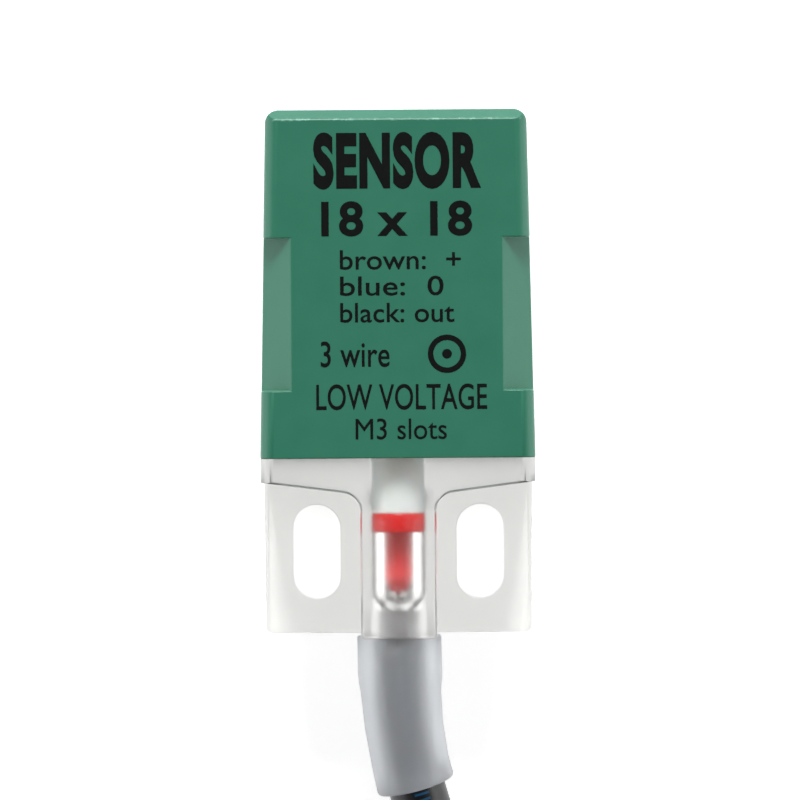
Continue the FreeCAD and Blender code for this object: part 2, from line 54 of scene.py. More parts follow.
case_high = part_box("case")[1]
cap_low, cap_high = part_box("clear_base")
lamp_low, lamp_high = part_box("indicator_led")
entry_low, entry_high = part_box("cable_entry")

FACE_Z = case_high.z
LAMP_Z = (lamp_low.z + lamp_high.z) / 2
CABLE_Z = (entry_low.z + entry_high.z) / 2

# The cable and its cores as the design has them: diameters and lengths, then points in millimetres
CABLE_D = 3.8 * MM
CORE_D = 1.3 * MM
CABLE_ROUTE = [
    (0, -17.3, 9.0),
    (0, -21.6, 9.0),
    (0.8, -26.9, 8.55),
    (3.1, -33.6, 7.3),
    (6.5, -42.2, 4.5),
    (9.9, -51.2, 1.95),
]
TAIL_ROUTE = [
    (-20.35, -85.0, 9.25),
    (-20.35, -80.2, 9.25),
    (-20.7, -74.6, 9.4),
    (-20.7, -69.4, 9.4),
]
# from the jacket's free end
CORE_ROUTES = {
    "brown": [
        (-0.75, 0, -0.4),
        (-0.75, 5.0, -0.4),
        (-1.3, 11.2, -1.15),
        (-1.7, 17.8, -1.25),
        (-2.2, 24.6, -1.7),
        (-2.3, 31.0, -2.7),
    ],
    "blue": [
        (0.75, 0, -0.4),
        (0.75, 5.4, -0.4),
        (1.2, 11.9, -1.15),
        (2.0, 18.6, -1.2),
        (2.8, 25.5, -1.5),
        (3.1, 32.0, -2.6),
    ],
    "black": [
        (0, 0, 0.9),
        (0, 5.2, 0.9),
        (0.0, 11.6, -0.4),
        (0.3, 18.4, -1.2),
        (0.4, 25.3, -1.6),
        (0.2, 31.8, -2.6),
    ],
}

# The put-away hank is an oval coil, wound clockwise from its right side.
# It has a middle line, two ends, and a radius and height for each turn, in millimetres.
HANK_X = -5.0
HANK_ENDS_Y = (-85.0, -60.0)
HANK_TURNS = [
    (17.0, 1.95),
    (13.2, 1.95),
    (9.35, 1.95),
    (11.2, 5.35),
    (15.1, 5.35),
    (11.35, 9.1),
    (15.3, 9.15),
]
TURN_COUNT = 6


# ---------------------------------------------------------------- helpers

def linear(code):
    """An sRGB hex colour as the linear colour that a shader takes."""
    parts = [int(code[i : i + 2], 16) / 255 for i in (0, 2, 4)]
    return [p / 12.92 if p <= 0.04045 else ((p + 0.055) / 1.055) ** 2.4 for p in parts] + [1.0]


def add(tree, kind, inputs=None, **settings):
    """Adds a shader node: settings are its properties, inputs are values or other nodes' sockets."""
    made = tree.nodes.new("ShaderNode" + kind)
    for name, value in settings.items():
        setattr(made, name, value)
    for name, value in (inputs or {}).items():
        if isinstance(value, bpy.types.NodeSocket):
            tree.links.new(value, made.inputs[name])
        else:
            made.inputs[name].default_value = value
    return made


def finish_of(name, colour, roughness, ior=1.5, **sockets):
    """A new material with one Principled shader, and its node tree, shader and object coordinates."""
    material = bpy.data.materials.new(name)
    material.use_nodes = True
    tree = material.node_tree
    shader = tree.nodes["Principled BSDF"]
    shader.inputs["Base Color"].default_value = linear(colour)
    shader.inputs["Roughness"].default_value = roughness
    shader.inputs["IOR"].default_value = ior
    for socket, value in sockets.items():
        shader.inputs[socket.replace("_", " ")].default_value = value
    place = add(tree, "TexCoord").outputs["Object"]
    return material, tree, shader, place


def link(tree, source, shader, socket):
    """Feeds a shader's socket from another node."""
    tree.links.new(source, shader.inputs[socket])


def moulded(name, colour, other, roughness, grain_mm, depth_mm, ior=1.5, **sockets):
    """A moulded or cast plastic: two near shades mottled together, uneven gloss, a fine tool grain."""
    material, tree, shader, place = finish_of(name, colour, roughness, ior, **sockets)
    cloud = add(tree, "TexNoise", {"Vector": place, "Scale": 0.25 / (grain_mm * MM), "Detail": 4.0})
    grain = add(tree, "TexNoise", {"Vector": place, "Scale": 1 / (grain_mm * MM), "Detail": 3.0})
    shade = add(
        tree, "Mix", {0: cloud.outputs[0], 6: linear(colour), 7: linear(other)}, data_type="RGBA"
    )
    gloss = add(
        tree,
        "MapRange",
        {"Value": grain.outputs[0], "To Min": roughness * 0.85, "To Max": roughness * 1.15},
    )
    bump = add(tree, "Bump", {"Height": grain.outputs[0], "Distance": depth_mm * MM, "Strength": 1.0})
    link(tree, shade.outputs[2], shader, "Base Color")
    link(tree, gloss.outputs[0], shader, "Roughness")
    link(tree, bump.outputs[0], shader, "Normal")
    return material


def mesh_object(name, mesh, material):
    """Links a mesh as a new smooth-shaded object with one material."""
    made = bpy.data.objects.new(name, mesh)
    bpy.context.scene.collection.objects.link(made)
    mesh.materials.clear()
    mesh.materials.append(material)
    mesh.shade_smooth()
    return made


def settle(piece, slot, *replaced):
    """Rides a piece on the one body and hides the nodes that it stands for; the finish's name in slot is
    not used.
    """
    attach(piece, "root")
    if replaced:
        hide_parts(*replaced)
    return piece


def welded(name):
    """A bare copy of a CAD node's mesh, its faces joined along their edges, as a bmesh."""
    source = nodes[name].data
    mesh = bpy.data.meshes.new(name + "_copy")
    mesh.from_pydata([v.co for v in source.vertices], [], [list(p.vertices) for p in source.polygons])
    shape = bmesh.new()
    shape.from_mesh(mesh)
    bmesh.ops.remove_doubles(shape, verts=shape.verts, dist=WELD)
    bpy.data.meshes.remove(mesh)
    return shape


def eased(shape, width_mm, limit=30, segments=2):
    """Merges flat faces and rounds the sharp edges of a bmesh."""
    bmesh.ops.dissolve_limit(
        shape,
        angle_limit=math.radians(0.6),
        use_dissolve_boundaries=False,
        verts=shape.verts,
        edges=shape.edges,
    )
    least = math.radians(limit)
    sharp = [e for e in shape.edges if len(e.link_faces) == 2 and e.calc_face_angle() > least]
    bmesh.ops.bevel(
        shape,
        geom=sharp,
        offset=width_mm * MM,
        offset_type="OFFSET",
        segments=segments,
        profile=0.5,
        affect="EDGES",
        clamp_overlap=True,
    )
    return shape


def as_mesh(shape, name, turn=True):
    """A finished bmesh as a mesh, its faces turned outwards unless it has a closed hollow inside."""
    if turn:
        bmesh.ops.recalc_face_normals(shape, faces=shape.faces)
    mesh = bpy.data.meshes.new(name)
    shape.to_mesh(mesh)
    shape.free()
    return mesh


def weigh_normals(piece):
    """Keeps wide flat faces flat and lets the rounded edges carry the turn."""
    piece.modifiers.new("flat_faces", "WEIGHTED_NORMAL").keep_sharp = True


def circle(steps):
    """The angles of a circle's points."""
    return [2 * math.pi * i / steps for i in range(steps)]


def joined(shape, ring, after):
    """Lays a strip of four-sided faces from one closed ring of points to the next."""
    for i in range(len(ring)):
        j = (i + 1) % len(ring)
        shape.faces.new([ring[i], ring[j], after[j], after[i]])


def lathe(profile, steps, name):
    """A mesh turned about the Y axis from (y, radius) pairs in millimetres, closed at its ends."""
    shape = bmesh.new()
    rings = []
    for y, radius in profile:
        angles = circle(steps) if radius > 0 else [0]
        spots = [(radius * math.cos(a) * MM, y * MM, radius * math.sin(a) * MM) for a in angles]
        rings.append([shape.verts.new(spot) for spot in spots])
    for ring, after in zip(rings, rings[1:]):
        for i in range(steps):
            j = (i + 1) % steps
            corners = [ring[i % len(ring)], ring[j % len(ring)]]
            corners += [after[j % len(after)], after[i % len(after)]]
            shape.faces.new(list(dict.fromkeys(corners)))
    for ring in (rings[0], rings[-1]):
        if len(ring) > 1:
            shape.faces.new(ring)
    return as_mesh(shape, name)


def moved(mesh, x, y, z):
    """The same mesh, shifted."""
    mesh.transform(Matrix.Translation((x, y, z)))
    return mesh


# ---------------------------------------------------------------- materials

def green_abs():
    """Moulded ABS, a little blue: satin, cloudy from the melt, with a painted highlight in pale specks
    along its front crease.
    """
    colour, other = "2B6C56", "33735D"
    material, tree, shader, place = finish_of(
        "moulded_abs_green", colour, 0.38, 1.53, Specular_IOR_Level=0.32
    )
    axes = add(tree, "SeparateXYZ", {"Vector": place})
    cloud = add(
        tree, "TexNoise", {"Vector": place, "Scale": 1 / (3.0 * MM), "Detail": 5.0, "Roughness": 0.6}
    )
    grain = add(tree, "TexNoise", {"Vector": place, "Scale": 1 / (0.16 * MM), "Detail": 3.0})
    specks = add(tree, "TexNoise", {"Vector": place, "Scale": 1 / (0.28 * MM), "Detail": 2.0})
    shade = add(
        tree, "Mix", {0: cloud.outputs[0], 6: linear(colour), 7: linear(other)}, data_type="RGBA"
    )
    # the crease where the front face meets the sloped band at the sensing end, 0.66 mm below that end
    crease = add(tree, "Math", {0: axes.outputs[1], 1: case_high.y - 0.66 * MM}, operation="SUBTRACT")
    near = add(tree, "Math", {0: crease.outputs[0]}, operation="ABSOLUTE")
    band = add(
        tree,
        "MapRange",
        {"Value": near.outputs[0], "From Min": 0, "From Max": 0.13 * MM, "To Min": 1, "To Max": 0},
    )
    front = add(tree, "Math", {0: axes.outputs[2], 1: FACE_Z - 0.2 * MM}, operation="GREATER_THAN")
    # painted highlight: pale specks in a narrow band along the crease, on the front face only
    highlight_specks = add(
        tree,
        "MapRange",
        {"Value": specks.outputs[0], "From Min": 0.52, "From Max": 0.66, "To Min": 0, "To Max": 0.45},
    )
    crease_highlight = add(tree, "Math", {0: band.outputs[0], 1: highlight_specks.outputs[0]}, operation="MULTIPLY")
    crease_highlight = add(tree, "Math", {0: crease_highlight.outputs[0], 1: front.outputs[0]}, operation="MULTIPLY")
    pale = add(
        tree, "Mix", {0: crease_highlight.outputs[0], 6: shade.outputs[2], 7: linear("8FBFB0")}, data_type="RGBA"
    )
    gloss = add(tree, "MapRange", {"Value": cloud.outputs[0], "To Min": 0.33, "To Max": 0.45})
    bump = add(tree, "Bump", {"Height": grain.outputs[0], "Distance": 0.004 * MM, "Strength": 1.0})
    link(tree, pale.outputs[2], shader, "Base Color")
    link(tree, gloss.outputs[0], shader, "Roughness")
    link(tree, bump.outputs[0], shader, "Normal")
    return material


def clear_polycarbonate():
    """Moulded clear polycarbonate: a fine frost from its tool, most on the front, faint flow waves."""
    material, tree, shader, place = finish_of(
        "moulded_polycarbonate_clear", "E9E9E7", 0.05, 1.585, Transmission_Weight=1.0
    )
    axes = add(tree, "SeparateXYZ", {"Vector": place})
    flow = add(tree, "TexNoise", {"Vector": place, "Scale": 1 / (1.6 * MM), "Detail": 2.0})
    haze = add(
        tree,
        "MapRange",
        {
            "Value": axes.outputs[2],
            "From Min": 11.3 * MM,
            "From Max": 17.4 * MM,
            "To Min": 0.12,
            "To Max": 0.3,
        },
    )
    bump = add(tree, "Bump", {"Height": flow.outputs[0], "Distance": 0.02 * MM, "Strength": 0.5})
    link(tree, haze.outputs[0], shader, "Roughness")
    link(tree, bump.outputs[0], shader, "Normal")
    return material


def red_epoxy():
    """Cast epoxy with a red diffuser in it: deep at the flange, paler at its domed end, glossy skin."""
    material, tree, shader, place = finish_of(
        "cast_epoxy_red", "C21E1E", 0.22, 1.53, Subsurface_Weight=0.35, Subsurface_Scale=0.5 * MM
    )
    shader.inputs["Subsurface Radius"].default_value = (1.0, 0.12, 0.1)
    axes = add(tree, "SeparateXYZ", {"Vector": place})
    haze = add(tree, "TexNoise", {"Vector": place, "Scale": 1 / (0.5 * MM), "Detail": 3.0})
    fade = add(
        tree,
        "MapRange",
        {"Value": axes.outputs[1], "From Min": lamp_low.y, "From Max": lamp_high.y - 1.2 * MM},
    )
    depth = add(
        tree, "Mix", {0: fade.outputs[0], 6: linear("EE6A6E"), 7: linear("C81C1E")}, data_type="RGBA"
    )
    mist = add(
        tree, "Mix", {0: haze.outputs[0], 6: depth.outputs[2], 7: linear("C8302F")}, data_type="RGBA"
    )
    link(tree, mist.outputs[2], shader, "Base Color")
    return material


def frosted_pvc():
    """Extruded translucent PVC with a bloom on its skin: milky, soft highlights, white where glued in."""
    material, tree, shader, place = finish_of(
        "extruded_pvc_frosted", "E3E6EA", 0.36, 1.53, Transmission_Weight=0.8
    )
    axes = add(tree, "SeparateXYZ", {"Vector": place})
    glued = add(
        tree,
        "MapRange",
        {
            "Value": axes.outputs[1],
            "From Min": cap_low.y - 0.1 * MM,
            "From Max": cap_low.y + 0.1 * MM,
            "To Min": 0.82,
            "To Max": 0.0,
        },
    )
    link(tree, glued.outputs[0], shader, "Transmission Weight")
    grain = add(tree, "TexNoise", {"Vector": place, "Scale": 1 / (0.3 * MM), "Detail": 3.0})
    bloom = add(tree, "TexNoise", {"Vector": place, "Scale": 1 / (2.2 * MM), "Detail": 3.0})
    gloss = add(tree, "MapRange", {"Value": bloom.outputs[0], "To Min": 0.26, "To Max": 0.42})
    bump = add(tree, "Bump", {"Height": grain.outputs[0], "Distance": 0.01 * MM, "Strength": 1.0})
    link(tree, gloss.outputs[0], shader, "Roughness")
    link(tree, bump.outputs[0], shader, "Normal")
    return material


def jacket_pvc():
    """Extruded black PVC cable jacket: satin, with a shallow leather grain from the die."""
    return moulded("extruded_pvc_jacket", "0D0E11", "15161A", 0.36, 0.35, 0.012, 1.53)


def enamelled_copper():
    """Copper wire, drawn, enamelled and wound: warm metal, fine turns side by side.

    The turns are drawn 0.36 mm apart, a little coarser than the 0.3 mm of the wire, so that they show.
    """
    material, tree, shader, place = finish_of("enamelled_copper", "B4622F", 0.28, Metallic=1.0)
    turns = add(
        tree,
        "TexWave",
        {"Vector": place, "Scale": 1 / (0.36 * MM) / (2 * math.pi), "Distortion": 0.6, "Detail": 1.0},
        bands_direction="Y",
    )
    tint = add(
        tree, "Mix", {0: turns.outputs[0], 6: linear("8E4420"), 7: linear("C67A44")}, data_type="RGBA"
    )
    bump = add(tree, "Bump", {"Height": turns.outputs[0], "Distance": 0.05 * MM, "Strength": 0.8})
    link(tree, tint.outputs[2], shader, "Base Color")
    link(tree, bump.outputs[0], shader, "Normal")
    return material


def metal(name, colour, other, roughness, grain_mm):
    """A plated or drawn metal: small brighter and duller patches, and fine uneven gloss."""
    material, tree, shader, place = finish_of(name, colour, roughness, Metallic=1.0)
    patch = add(tree, "TexNoise", {"Vector": place, "Scale": 1 / (grain_mm * MM), "Detail": 4.0})
    tint = add(
        tree, "Mix", {0: patch.outputs[0], 6: linear(colour), 7: linear(other)}, data_type="RGBA"
    )
    gloss = add(
        tree,
        "MapRange",
        {"Value": patch.outputs[0], "To Min": roughness * 0.7, "To Max": roughness * 1.4},
    )
    bump = add(tree, "Bump", {"Height": patch.outputs[0], "Distance": 0.006 * MM, "Strength": 0.6})
    link(tree, tint.outputs[2], shader, "Base Color")
    link(tree, gloss.outputs[0], shader, "Roughness")
    link(tree, bump.outputs[0], shader, "Normal")
    return material


def circuit_laminate():
    """Glass-epoxy board under sprayed green solder mask: the weave shows faintly through the lacquer.

    The weave is drawn 0.9 mm wide, coarser than the 0.5 mm of real glass cloth, so that it shows.
    """
    material, tree, shader, place = finish_of("solder_mask_green", "1C5A34", 0.25, 1.5, Coat_Weight=0.5)
    weave = add(tree, "TexBrick", {"Vector": place, "Scale": 1 / (0.9 * MM), "Mortar Size": 0.04})
    green_shades = {6: linear("1C5A34"), 7: linear("2B6E40")}
    tint = add(tree, "Mix", {0: weave.outputs["Fac"], **green_shades}, data_type="RGBA")
    bump = add(tree, "Bump", {"Height": weave.outputs["Fac"], "Distance": 0.01 * MM, "Strength": 0.5})
    link(tree, tint.outputs[2], shader, "Base Color")
    link(tree, bump.outputs[0], shader, "Normal")
    return material


def printing_ink():
    """Pad-printed epoxy ink: near black, matt, a hair thick, thinner where the pad lifted."""
    return moulded("pad_print_ink", "050606", "0E1010", 0.55, 0.12, 0.003, Specular_IOR_Level=0.12)


def table_top():
    """Cast white opal sheet lit a little from below, as for product pictures: even, hardly any grain."""
    glow = {"Emission_Color": (1.0, 1.0, 1.0, 1.0), "Emission_Strength": 0.58}
    return moulded("opal_acrylic_white", "F6F6F6", "FAFAFA", 0.7, 1.5, 0.01, 1.45, **glow)


green = green_abs()
clear = clear_polycarbonate()
lamp_red = red_epoxy()
frosted = frosted_pvc()
black_jacket = jacket_pvc()
ink = printing_ink()
# Sprayed cable ink: a thin dull blue, uneven from drop to drop
inkjet = moulded("inkjet_ink_blue", "1F6488", "164A74", 0.5, 0.1, 0.003)
copper = enamelled_copper()
# Copper dipped in tin: pale, warm grey, softly streaked
tin = metal("tinned_copper", "C9C8C2", "A9A8A2", 0.28, 0.3)
# Extruded PVC core insulation: plain colours, satin, smoother than the jacket
core_plastics = {
    "brown": moulded("extruded_pvc_brown", "5A3320", "643A26", 0.38, 0.3, 0.008, 1.53),
    "blue": moulded("extruded_pvc_blue", "2458A6", "2D62AE", 0.38, 0.3, 0.008, 1.53),
    "black": moulded("extruded_pvc_black", "17181A", "202124", 0.38, 0.3, 0.008, 1.53),
}
# Pressed epoxy of the chips' bodies: black, dull, with fine sparkle from its filler
package = moulded("moulded_epoxy_black", "1B1B1C", "242425", 0.6, 0.15, 0.01, 1.55)
# Poured resin, set in the case: pale, waxy, a little see-through
resin = moulded(
    "cast_resin_pale", "DADBD6", "E4E4DF", 0.45, 0.8, 0.01, 1.53, Subsurface_Weight=0.2
)
# Moulded nylon of the tie: black, satin, smooth
tie_nylon = moulded("moulded_nylon_black", "1A1A1B", "232324", 0.42, 0.5, 0.01, 1.53)

# The pieces that keep their designed shape, each with its finish
NODE_FINISHES = {
    # pressed and fired ferrite: dark grey, dull, finely pitted
    "ferrite_core": moulded("pressed_ferrite", "2B2B2D", "37373A", 0.65, 0.25, 0.02, 1.8),
    # moulded nylon in its own colour: warm ivory, satin
    "coil_bobbin": moulded("moulded_nylon_natural", "E4DFCC", "ECE8D8", 0.45, 0.5, 0.01, 1.53),
    "coil_winding": copper,
    "coil_leads": copper,
    "circuit_board": circuit_laminate(),
    "sensor_ic": package,
    "output_transistor": package,
    "protection_diodes": package,
    "ic_pins": tin,
    "transistor_pins": tin,
    "diode_terminals": tin,
    "tantalum_terminals": tin,
    "chip_terminals": tin,
    "led_leads": tin,
    "tinned_end_brown": tin,
    "tinned_end_blue": tin,
    "tinned_end_black": tin,
    # pressed epoxy with yellow pigment: dull, even
    "tantalum_capacitor": moulded("moulded_epoxy_yellow", "D9A23A", "E2AE48", 0.5, 0.2, 0.01, 1.55),
    # glass glaze fired on the resistors: near black, glossy
    "chip_resistors": moulded("fired_glaze_black", "1E1F22", "2A2B2F", 0.3, 0.2, 0.004, 1.6),
    # fired ceramic: tan, half gloss, faintly grainy
    "chip_capacitors": moulded("fired_ceramic_tan", "A8845C", "B39068", 0.4, 0.2, 0.006, 1.7),
    "lead_brown": core_plastics["brown"],
    "lead_blue": core_plastics["blue"],
    "lead_black": core_plastics["black"],
    # solder set from the melt: bright silver, rippled
    "solder_joints": metal("solder_tin", "C4C4C4", "A6A6A6", 0.18, 0.4),
    "cable_entry": black_jacket,
    # brass strip, stamped and crimped: yellow metal, half bright
    "cable_clamp": metal("stamped_brass", "C2A256", "A88A44", 0.3, 0.5),
}
for name, material in NODE_FINISHES.items():
    nodes[name].data.materials.clear()
    nodes[name].data.materials.append(material)


# ---------------------------------------------------------------- the case and what is printed on it

CASE_EDGE_MM = 0.09


def make_case():
    """The green cup, with the small roundings that its tool leaves on every edge."""
    shape = eased(welded("case"), CASE_EDGE_MM)
    piece = mesh_object("case_shell", as_mesh(shape, "case_shell"), green)
    weigh_normals(piece)
    return settle(piece, "case_green", "case")


INK_THICKNESS = 0.015 * MM

# Words, then left, right, foot and head of the letters from the face's middle, and how bold they are
PRINTED_LINES = [
    ("heading", "SENSOR", -5.4, 5.55, 12.35, 15.8, 0.05),
    ("size", "18 x 18", -4.9, 4.95, 9.1, 11.3, 0.026),
    ("brown_core", "brown:  +", -3.7, 4.2, 6.85, 8.1, 0.006),
    ("blue_core", "blue:  0", -3.7, 3.05, 5.15, 6.4, 0.006),
    ("black_core", "black: out", -3.7, 3.75, 3.4, 4.65, 0.006),
    ("kind", "3 wire", -5.0, -0.5, 0.5, 2.15, 0.006),
    ("supply", "LOW VOLTAGE", -5.3, 5.85, -2.3, -0.65, 0.006),
    ("screws", "M3 slots", -2.75, 3.2, -4.25, -2.9, 0.0),
]
SENSING_MARK = (3.25, 1.3, 0.9, 1.25)  # middle, inner and outer radius


def printed(shape, name):
    """Flat faces made as thick as a print and laid on the front face."""
    raised = bmesh.ops.extrude_face_region(shape, geom=shape.faces[:])
    up = [v for v in raised["geom"] if isinstance(v, bmesh.types.BMVert)]
    bmesh.ops.translate(shape, verts=up, vec=(0, 0, INK_THICKNESS))
    bmesh.ops.translate(shape, verts=shape.verts, vec=(0, 0, FACE_Z))
    piece = mesh_object(name, as_mesh(shape, name), ink)
    piece.data.shade_flat()
    return settle(piece, "black_epoxy")


def printed_line(name, words, left, right, foot, head, bolder):
    """One line of generic words, fitted to its width and height."""
    text = bpy.data.curves.new(name, "FONT")
    text.body = words
    text.size = 1.0
    text.offset = bolder
    text.space_character = 1 + 2.2 * bolder
    text.resolution_u = 6
    holder = bpy.data.objects.new(name, text)
    bpy.context.scene.collection.objects.link(holder)
    bpy.context.view_layer.update()
    mesh = bpy.data.meshes.new_from_object(holder.evaluated_get(bpy.context.evaluated_depsgraph_get()))
    bpy.data.objects.remove(holder)
    xs = [v.co.x for v in mesh.vertices]
    ys = [v.co.y for v in mesh.vertices]
    wide = (right - left) / (max(xs) - min(xs))
    high = (head - foot) / max(ys)
    for v in mesh.vertices:
        v.co = ((left + (v.co.x - min(xs)) * wide) * MM, (foot + v.co.y * high) * MM, 0)
    shape = bmesh.new()
    shape.from_mesh(mesh)
    bmesh.ops.remove_doubles(shape, verts=shape.verts, dist=0.001 * MM)
    return printed(shape, "print_" + name)


def printed_ring(x, y, inner, outer):
    """A plain ring with a dot in it, for the sensing spot."""
    shape = bmesh.new()
    steps = 48
    for r0, r1 in ((inner, outer), (0, inner * 0.35)):
        for i in range(steps):
            a, b = 2 * math.pi * i / steps, 2 * math.pi * (i + 1) / steps
            corners = [(r0, a), (r1, a), (r1, b), (r0, b)] if r0 else [(0, 0), (r1, a), (r1, b)]
            spots = [((x + r * math.cos(t)) * MM, (y + r * math.sin(t)) * MM, 0) for r, t in corners]
            shape.faces.new([shape.verts.new(spot) for spot in spots])
    bmesh.ops.remove_doubles(shape, verts=shape.verts, dist=0.0001 * MM)
    return printed(shape, "print_ring")


# ---------------------------------------------------------------- the clear end cap and its lamp

# The cap's holes, in millimetres: the lamp's pocket, the cable's bore and the sleeve's socket
POCKET_R = 1.7
POCKET_END = -15.76
BORE_R = 2.0
BORE_Y = -3.9
SOCKET_R = 2.2
SOCKET_Y = -15.6
SOCKET_MOUTH_Y = -17.6
# Half widths of the blocks that fill them before they are bored, and where the lamp's block ends
LAMP_PLUG = (1.95, -16.1)
CABLE_PLUG = 2.35
PLUG_BACK = 0.02  # how far a block stops short of the cap's inner end
ROUND_STEPS = 96
CAP_EDGE_MM = 0.06

# The lamp, and how deep the resin beds into the cap, in millimetres
LAMP_FLANGE_LONG = 1.3
LAMP_FLANGE_R = 1.75
LAMP_RIM = 0.12
LAMP_BODY_R = 1.45
RESIN_BED = 0.03


def boolean(piece, other, operation):
    """Joins or cuts one mesh object with another, which is used up."""
    cutter = piece.modifiers.new("shape", "BOOLEAN")
    cutter.operation = operation
    cutter.solver = "EXACT"
    cutter.object = other
    bpy.context.view_layer.update()
    mesh = bpy.data.meshes.new_from_object(piece.evaluated_get(bpy.context.evaluated_depsgraph_get()))
    piece.modifiers.clear()
    piece.data = mesh
    bpy.data.objects.remove(other)


def plug(low, high):
    """A plain block that fills a hole before it is bored again."""
    shape = bmesh.new()
    size = Vector(high) - Vector(low)
    middle = (Vector(high) + Vector(low)) / 2
    bmesh.ops.create_cube(shape, size=1.0)
    bmesh.ops.scale(shape, verts=shape.verts, vec=size * MM)
    bmesh.ops.translate(shape, verts=shape.verts, vec=middle * MM)
    return mesh_object("plug", as_mesh(shape, "plug"), clear)


def dome(y0, y1, radius, steps=16):
    """Profile of a round bar from y0 to a half-ball end at y1, as (y, radius)."""
    arc = [math.pi / 2 * i / steps for i in range(steps)]
    end = [(y1 + radius - radius * math.sin(a), radius * max(math.cos(a), 0)) for a in arc]
    return [(y0, radius)] + end + [(y1, 0)]


def make_cap():
    """The clear cap, its round holes bored smooth, and the hole behind the lamp filled by the resin."""
    inside = cap_high.y / MM - PLUG_BACK
    piece = mesh_object("clear_cap", as_mesh(welded("clear_base"), "clear_cap"), clear)
    for z, half, end in ((LAMP_Z / MM, *LAMP_PLUG), (CABLE_Z / MM, CABLE_PLUG, cap_low.y / MM)):
        boolean(piece, plug((-half, end, z - half), (half, inside, z + half)), "UNION")
    pocket = lathe(dome(lamp_high.y / MM - 0.3, POCKET_END, POCKET_R), ROUND_STEPS, "pocket")
    boolean(piece, mesh_object("pocket", moved(pocket, 0, 0, LAMP_Z), clear), "DIFFERENCE")
    bore = [(BORE_Y, 0), (BORE_Y, BORE_R), (SOCKET_Y, BORE_R)]
    bore += [(SOCKET_Y, SOCKET_R), (SOCKET_MOUTH_Y, SOCKET_R), (SOCKET_MOUTH_Y, 0)]
    cutter = mesh_object("bore", moved(lathe(bore, ROUND_STEPS, "bore"), 0, 0, CABLE_Z), clear)
    boolean(piece, cutter, "DIFFERENCE")
    shape = bmesh.new()
    shape.from_mesh(piece.data)
    bmesh.ops.remove_doubles(shape, verts=shape.verts, dist=WELD)
    eased(shape, CAP_EDGE_MM, limit=40)
    piece.data = as_mesh(shape, "clear_cap", turn=False)
    piece.data.materials.clear()
    piece.data.materials.append(clear)
    piece.data.shade_smooth()
    weigh_normals(piece)
    piece.visible_shadow = False  # light passes through it to the table
    return settle(piece, "clear_plastic", "clear_base")


def make_lamp():
    """The lamp: flange with rounded rims, then a body that ends in a dome."""
    back = lamp_high.y / MM
    front = back - LAMP_FLANGE_LONG
    wide, rim = LAMP_FLANGE_R, LAMP_RIM
    profile = [(back, 0), (back, wide - rim), (back - rim * 0.3, wide - rim * 0.3), (back - rim, wide)]
    profile += [(front + rim, wide), (front + rim * 0.3, wide - rim * 0.3), (front, wide - rim)]
    profile += dome(front, lamp_low.y / MM, LAMP_BODY_R)
    piece = mesh_object("lamp_body", moved(lathe(profile, 64, "lamp_body"), 0, 0, LAMP_Z), lamp_red)
    weigh_normals(piece)
    return settle(piece, "lamp_red", "indicator_led")


def make_resin():
    """The poured resin, bedded a hair into the cap so that no air shows between them."""
    shape = welded("potting_resin")
    for v in shape.verts:
        if abs(v.co.y - cap_high.y) < 0.01 * MM:
            v.co.y -= RESIN_BED * MM
    piece = mesh_object("poured_resin", as_mesh(shape, "poured_resin"), resin)
    piece.data.shade_flat()
    return settle(piece, "potting_resin", "potting_resin")


# ---------------------------------------------------------------- the cable

def smooth_step(x):
    """Zero up to 0, one from 1, and a soft rise between them."""
    x = min(max(x, 0.0), 1.0)
    return x * x * (3 - 2 * x)


HUMPS = {0: 0.0, 1: 0.0, 5: 3.4}  # how far a turn rises where it crosses to the next one, by turn
HUMP = 0.4  # and the other turns


def hank_points():
    """The hank's turns, each at its own radius and height, stepping to the next round the near end."""
    wander = random.Random(18)
    far, near = HANK_ENDS_Y
    # how far inside its points the smooth line runs round an end
    shrink = (3 + math.cos(math.pi / 6)) / 4
    stops = [((far + near) / 2, 0, 1), (far, 0, 1)]
    stops += [(far, -angle, shrink) for angle in range(30, 180, 30)]
    stops += [(far, 180, 1), ((far + near) / 2, 180, 1), (near, 180, 1)]
    stops += [(near, angle, shrink) for angle in range(150, 0, -30)] + [(near, 0, 1)]
    points = []
    for i in range(len(stops) * TURN_COUNT + stops.index((far, 180, 1))):
        turn, stop = divmod(i, len(stops))
        (r0, z0), (r1, z1) = (HANK_TURNS[min(k, len(HANK_TURNS) - 1)] for k in (turn, turn + 1))
        part = stop / len(stops)
        rise = math.sin(math.pi * min(max((part - 0.6) / 0.4, 0), 1)) ** 2
        over = HUMPS.get(turn, HUMP) * rise
        y, angle, inside = stops[stop]
        radius = r0 + (r1 - r0) * smooth_step((part - 0.72) / 0.23) + wander.uniform(-0.1, 0.1)
        radius /= inside
        height = z0 + (z1 - z0) * smooth_step((part - 0.62) / 0.2) + over + wander.uniform(0, 0.1)
        turned = math.radians(angle)
        points.append((HANK_X + radius * math.cos(turned), y + radius * math.sin(turned), height))
    return points[1:]


def cord(name, points, diameter, material):
    """A round cord on a smooth line through its route, and the points of that line."""
    curve = bpy.data.curves.new(name, "CURVE")
    curve.dimensions = "3D"
    curve.resolution_u = 6
    spline = curve.splines.new("NURBS")
    spline.points.add(len(points) - 1)
    for spot, (x, y, z) in zip(spline.points, points):
        spot.co = (x * MM, y * MM, z * MM, 1)
    spline.order_u = 3
    spline.use_endpoint_u = True
    piece = bpy.data.objects.new(name, curve)
    bpy.context.scene.collection.objects.link(piece)
    bpy.context.view_layer.update()
    line = bpy.data.meshes.new_from_object(piece.evaluated_get(bpy.context.evaluated_depsgraph_get()))
    path = [v.co.copy() for v in line.vertices]
    bpy.data.meshes.remove(line)
    curve.bevel_depth = diameter / 2
    curve.bevel_resolution = 6
    curve.use_fill_caps = True
    curve.materials.append(material)
    return piece, path


